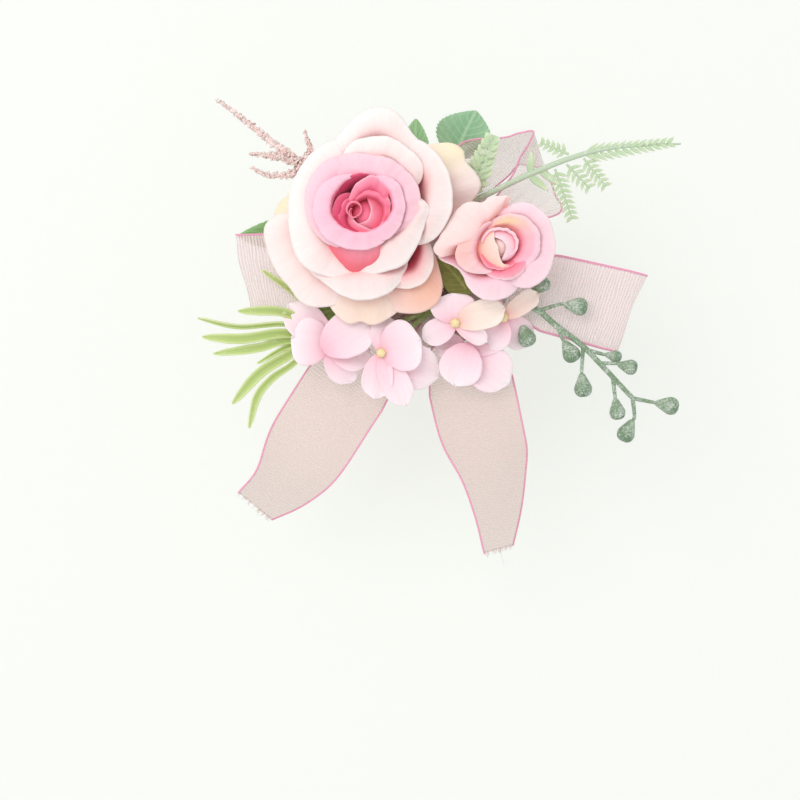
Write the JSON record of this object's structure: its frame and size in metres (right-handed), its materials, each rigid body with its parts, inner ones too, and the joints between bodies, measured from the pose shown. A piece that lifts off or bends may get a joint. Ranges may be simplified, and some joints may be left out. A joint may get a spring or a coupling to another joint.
{
  "type": "wrist corsage",
  "caption": "Wrist corsage: a silk rose, a rosebud, hydrangea florets, greenery, berries and an organza bow with loops and tails on a felt-backed disc with an elastic wristband.",
  "frame": {"origin": "middle of the felt backing's underside, the face that lies on the wrist", "axes": "+Z leaves the back of the wrist, +Y runs up the forearm, +X goes across the wrist"},
  "size_m": [0.1615, 0.1533, 0.0836],
  "materials": {
    "felt": "matt felt",
    "elastic": "ribbed woven elastic",
    "organza": "sheer organza with woven pink edges",
    "heart": "dyed silk-look fabric",
    "inner_petal": "dyed silk-look fabric",
    "outer_petal": "dyed silk-look fabric",
    "bud_petal": "dyed silk-look fabric",
    "floret": "dyed silk-look fabric",
    "bead": "matt",
    "leaf": "printed fabric",
    "stem": "satin",
    "grass": "satin",
    "plume": "flocked",
    "fern": "frosted",
    "berry": "gloss with frosted patches"
  },
  "bodies": {
    "spray_base": {"felt_backing": "felt", "mount_disc": "felt", "band_top": "elastic", "band_side_left": "elastic", "band_side_right": "elastic", "bow_binding": "organza", "bow_loop_left": "organza", "bow_loop_right": "organza", "bow_loop_upper": "organza", "tail_left_root": "organza", "tail_right_root": "organza", "rose_calyx": "stem", "rose_heart": "heart", "rose_petals_1": "inner_petal", "rose_petals_2": "inner_petal", "rose_petals_3": "outer_petal", "rose_petals_4": "outer_petal", "bud_calyx": "stem", "bud_heart": "heart", "bud_petals_1": "bud_petal", "bud_petals_2": "bud_petal", "hydrangea_stem": "stem", "hydrangea_floret_1": "floret", "hydrangea_bead_1": "bead", "hydrangea_floret_2": "floret", "hydrangea_bead_2": "bead", "hydrangea_floret_3": "floret", "hydrangea_bead_3": "bead", "hydrangea_floret_4": "floret", "hydrangea_bead_4": "bead", "hydrangea_floret_5": "floret", "hydrangea_bead_5": "bead", "rose_leaf_top": "leaf", "rose_leaf_small": "leaf", "rose_leaf_left": "leaf", "rose_leaf_centre": "leaf", "rose_leaf_below": "leaf", "berry_foot": "berry", "fern_foot": "fern", "plume_foot": "stem", "grass_pick": "grass"},
    "band_loop": {"band_palm": "elastic"},
    "berry_sprig": {"berry_spray": "berry"},
    "fern_sprig": {"fern_stem": "fern", "fern_frond_1": "fern", "fern_frond_2": "fern", "fern_frond_3": "fern", "fern_frond_4": "fern"},
    "plume_sprig": {"plume_spray": "plume"},
    "left_tail": {"tail_left": "organza"},
    "right_tail": {"tail_right": "organza"}
  },
  "joints": [
    {"name": "band_stretch", "type": "slide", "parent": "spray_base", "child": "band_loop", "axis": [0, 0, -1], "range_m": [0, 0.018], "stiffness_N_per_m": 120, "deforming": ["band_side_left", "band_side_right"]},
    {"name": "berry_bend", "type": "hinge", "parent": "spray_base", "child": "berry_sprig", "pos_m": [0.0345, -0.0153, 0.016], "axis": [-0.6712, -0.7413, 0], "range_deg": [-2, 35]},
    {"name": "fern_bend", "type": "hinge", "parent": "spray_base", "child": "fern_sprig", "pos_m": [0.0145, 0.0207, 0.017], "axis": [0.2571, -0.9664, 0], "range_deg": [-4, 35]},
    {"name": "plume_bend", "type": "hinge", "parent": "spray_base", "child": "plume_sprig", "pos_m": [-0.041, 0.0315, 0.01], "axis": [0.6181, 0.7861, 0], "range_deg": [-20, 25]},
    {"name": "left_tail_swing", "type": "hinge", "parent": "spray_base", "child": "left_tail", "pos_m": [-0.0278, -0.041, 0.0062], "axis": [0.7682, -0.6402, 0], "range_deg": [-35, 30], "stiffness_Nm_per_rad": 0.005},
    {"name": "right_tail_swing", "type": "hinge", "parent": "spray_base", "child": "right_tail", "pos_m": [0.0139, -0.0416, 0.0062], "axis": [0.9685, 0.2489, 0], "range_deg": [-35, 30], "stiffness_Nm_per_rad": 0.005}
  ]
}
